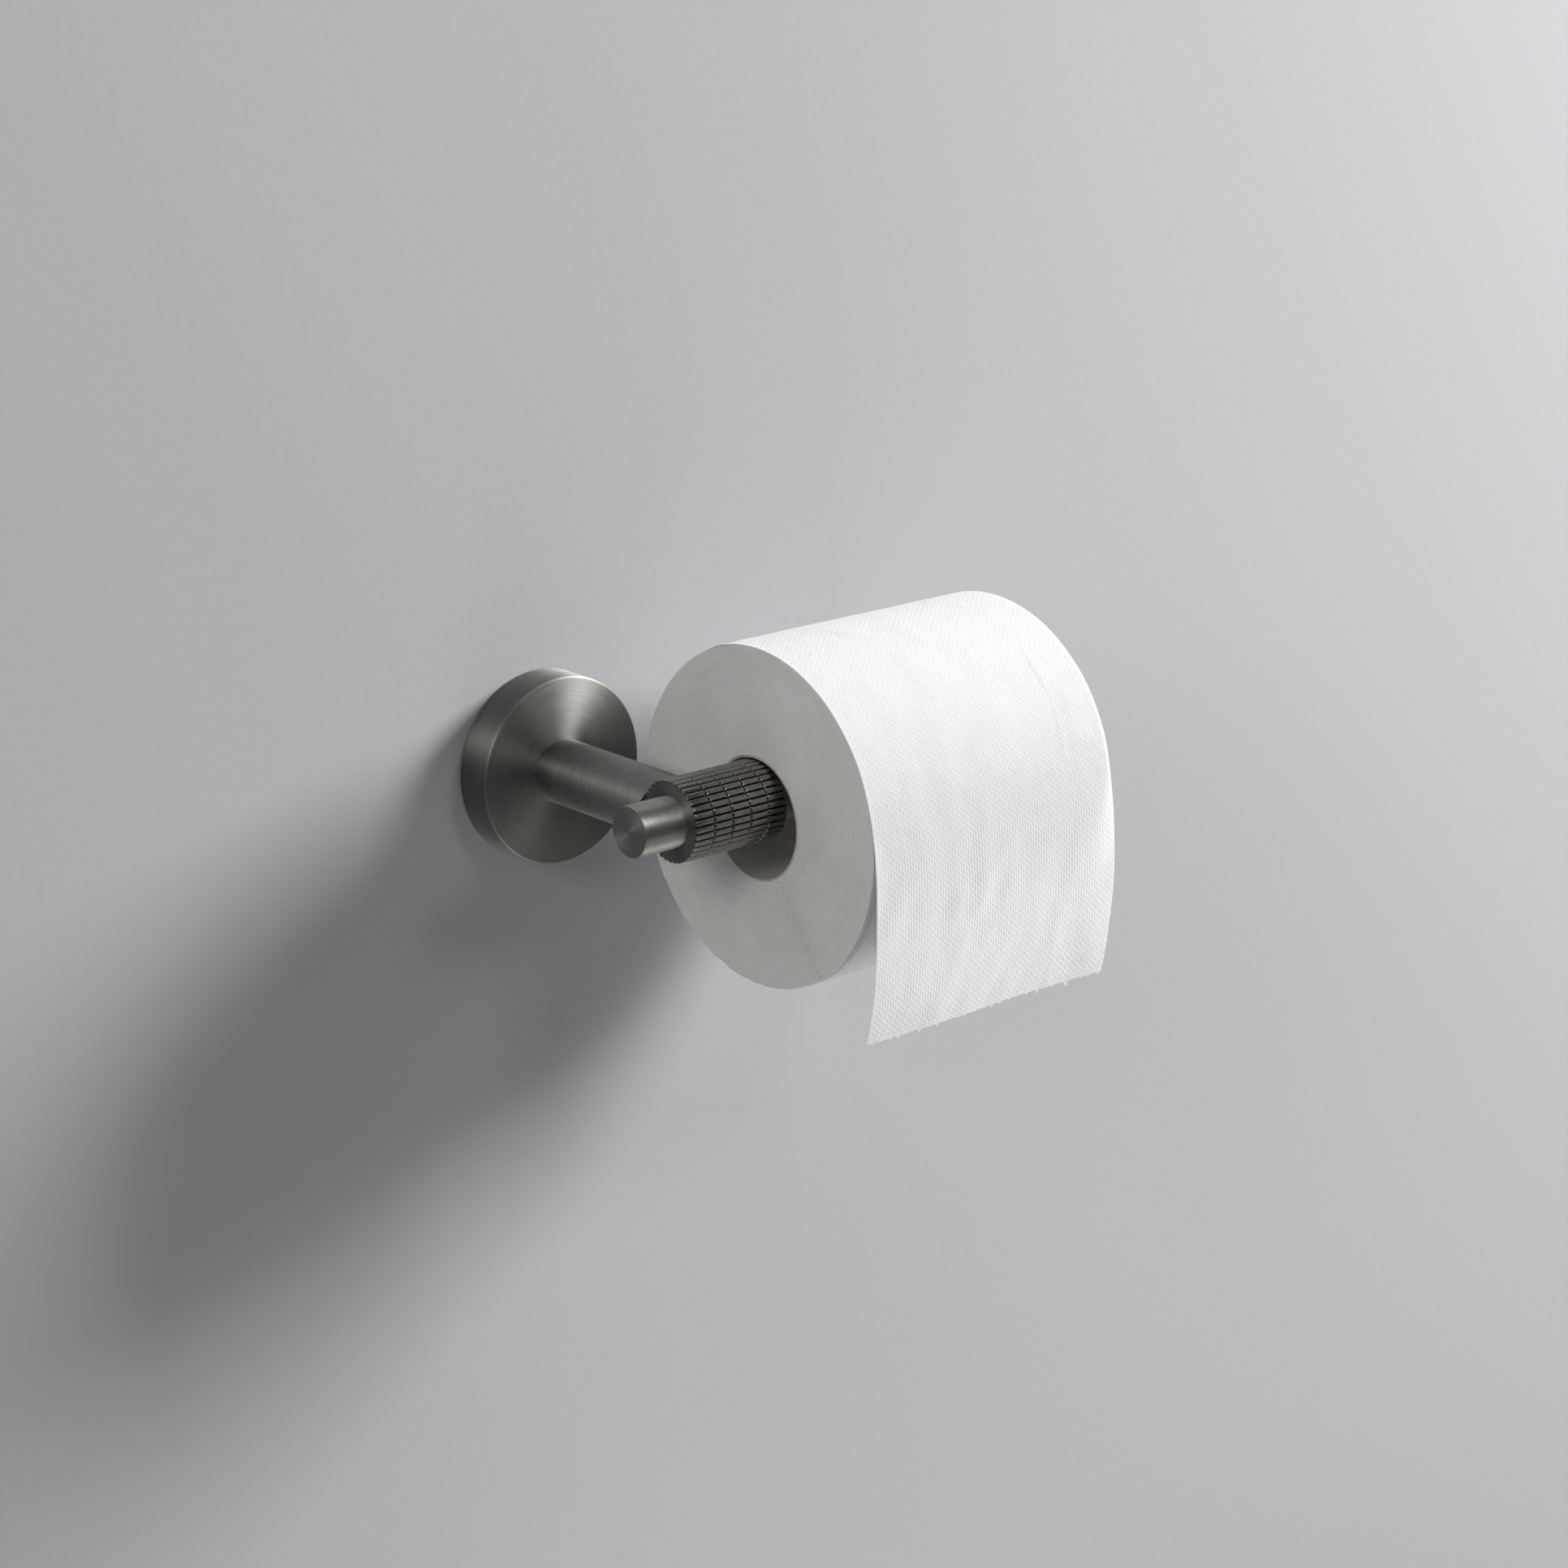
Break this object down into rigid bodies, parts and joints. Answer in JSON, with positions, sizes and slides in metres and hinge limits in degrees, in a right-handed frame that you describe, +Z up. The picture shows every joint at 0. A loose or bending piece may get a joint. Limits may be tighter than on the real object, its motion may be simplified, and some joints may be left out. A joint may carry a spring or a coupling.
{
  "type": "toilet paper holder",
  "caption": "Wall-mounted toilet paper holder: round rose, turned post and a horizontal rod with a knurled sleeve, carrying a paper roll whose loose end hangs over the front.",
  "frame": {"origin": "centre of the rose's back face, on the wall's surface", "axes": "+Z up, +Y into the wall, so the holder stands out towards -Y; +X along the rod towards its free end"},
  "size_m": [0.1663, 0.1322, 0.116],
  "materials": {
    "brushed_gunmetal": "satin",
    "bare_steel": "satin",
    "tissue": "matte",
    "core_board": "matte"
  },
  "bodies": {
    "holder": {"wall_plate": "bare_steel", "rose": "brushed_gunmetal", "rose_grub_screw": "bare_steel", "post": "brushed_gunmetal", "post_screw": "bare_steel", "washer": "bare_steel", "locating_pin": "bare_steel", "bar_stud": "bare_steel", "cross_rod": "brushed_gunmetal", "knurled_sleeve": "brushed_gunmetal"},
    "loose_sheet": {"hanging_sheet": "tissue"},
    "roll": {"roll_core": "core_board", "paper_roll": "tissue"}
  },
  "joints": [
    {"name": "roll_slide", "type": "slide", "parent": "holder", "child": "loose_sheet", "axis": [1, 0, 0], "range_m": [-0.014, 0.115]},
    {"name": "roll_spin", "type": "hinge", "parent": "loose_sheet", "child": "roll", "pos_m": [0.07505, -0.0758, -0.00585], "axis": [1, 0, 0], "continuous": true}
  ]
}
